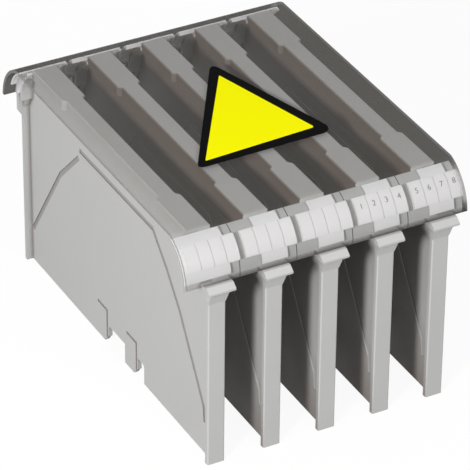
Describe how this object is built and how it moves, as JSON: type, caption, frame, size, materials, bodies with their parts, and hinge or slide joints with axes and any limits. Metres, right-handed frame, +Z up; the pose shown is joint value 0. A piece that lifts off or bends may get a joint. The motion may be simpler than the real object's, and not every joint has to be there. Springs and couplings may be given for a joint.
{
  "type": "terminal block protective cover",
  "caption": "Smoked transparent clip-over cover with curved lips over a row of grey upright carriers, with white marker tags at the front and rear.",
  "frame": {"origin": "on the ground, at the middle of the row of carriers and of their depth", "axes": "+X along the row of carriers, +Y from the front to the rear, +Z up"},
  "size_m": [0.1124, 0.156, 0.0928],
  "materials": {
    "carrier_grey": "fine matt moulded",
    "marker_white": "smooth moulded",
    "tag_white": "smooth moulded",
    "smoked_clear": "polished, transparent, lightly smoked"
  },
  "bodies": {
    "root": {"carrier_1": "carrier_grey", "carrier_2": "carrier_grey", "carrier_3": "carrier_grey", "carrier_4": "carrier_grey", "carrier_5": "carrier_grey", "marker_holder_front_1": "marker_white", "tag_strip_front_1": "tag_white", "marker_holder_front_2": "marker_white", "tag_strip_front_2": "tag_white", "marker_holder_front_3": "marker_white", "tag_strip_front_3": "tag_white", "marker_holder_front_4": "marker_white", "tag_strip_front_4": "tag_white", "marker_holder_front_5": "marker_white", "tag_strip_front_5": "tag_white", "marker_holder_rear_1": "marker_white", "tag_strip_rear_1": "tag_white", "marker_holder_rear_2": "marker_white", "tag_strip_rear_2": "tag_white", "marker_holder_rear_3": "marker_white", "tag_strip_rear_3": "tag_white", "marker_holder_rear_4": "marker_white", "tag_strip_rear_4": "tag_white", "marker_holder_rear_5": "marker_white", "tag_strip_rear_5": "tag_white", "cover": "smoked_clear"}
  },
  "joints": []
}
